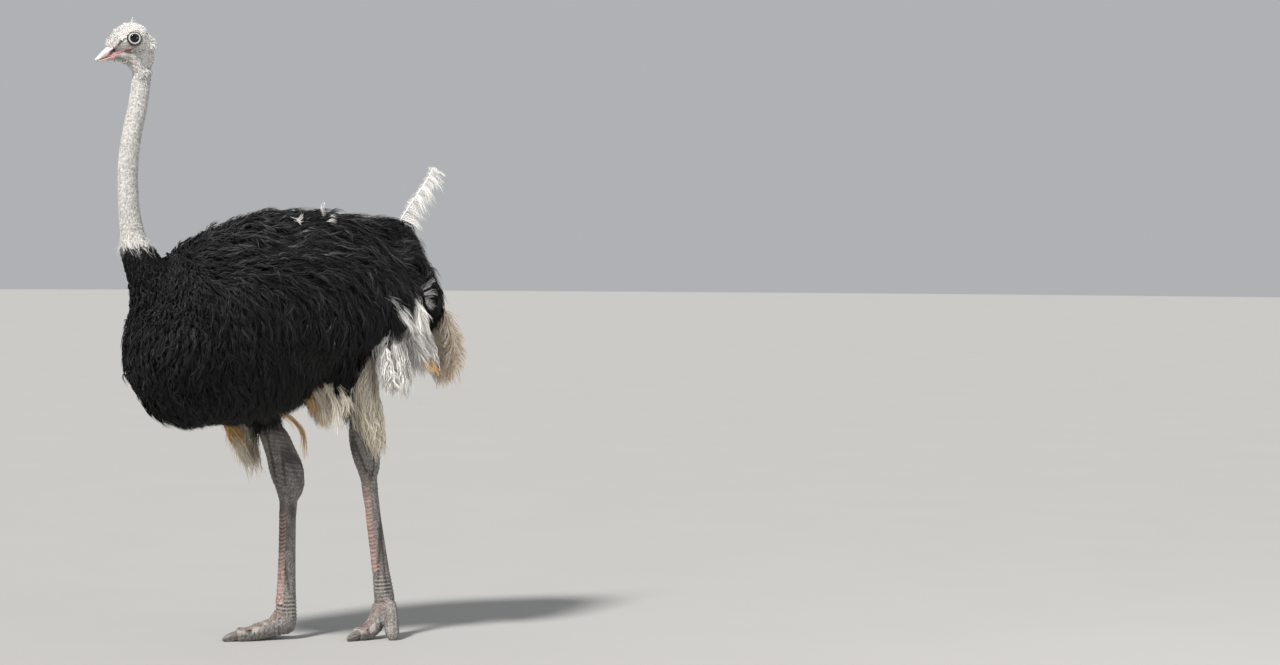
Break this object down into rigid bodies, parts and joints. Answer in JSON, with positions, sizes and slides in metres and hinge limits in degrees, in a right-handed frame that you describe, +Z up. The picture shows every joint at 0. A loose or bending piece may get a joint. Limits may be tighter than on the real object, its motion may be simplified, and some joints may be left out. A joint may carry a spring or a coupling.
{
  "type": "ostrich",
  "caption": "Adult male ostrich standing on its forward foot with the rear heel raised, as a still life-size display model.",
  "frame": {"origin": "on the floor, under the middle of the bird's whole length and width", "axes": "-Y is the way the bird faces, +X its left side, +Z up"},
  "size_m": [0.5956, 1.4075, 2.1299],
  "materials": {
    "black_plumage": "soft loose feathers, near black with a cool grey sheen",
    "white_plumes": "loose white to cream plumes",
    "buff_plumes": "loose buff-brown tail plumes",
    "neck_down": "grey skin under short pale down",
    "leg_skin": "dry grey scaled skin, pinkish shields down the shank",
    "bill_horn": "satin horn",
    "claw_horn": "worn horn",
    "eye": "wet gloss, dark brown"
  },
  "bodies": {
    "root": {"trunk": "black_plumage", "neck_base": "black_plumage", "wing_left": "black_plumage", "wing_right": "black_plumage", "tail": "black_plumage", "wing_plumes_front_left": "white_plumes", "wing_plumes_rear_left": "white_plumes", "wing_plumes_front_right": "white_plumes", "wing_plumes_rear_right": "white_plumes", "rump_plume": "white_plumes", "thigh_plumes_left": "white_plumes", "thigh_plumes_right": "white_plumes", "flank_plumes": "white_plumes", "tail_plumes": "buff_plumes", "neck_upper": "neck_down", "neck_lower": "neck_down", "head": "neck_down", "eye_left": "eye", "eye_right": "eye", "upper_bill": "bill_horn", "lower_bill": "bill_horn", "thigh_left": "leg_skin", "thigh_right": "leg_skin", "ankle_left": "leg_skin", "ankle_right": "leg_skin", "shank_left": "leg_skin", "shank_right": "leg_skin", "big_toe_left": "leg_skin", "big_toe_right": "leg_skin", "small_toe_left": "leg_skin", "small_toe_right": "leg_skin", "claw_left": "claw_horn", "claw_right": "claw_horn"}
  },
  "joints": []
}
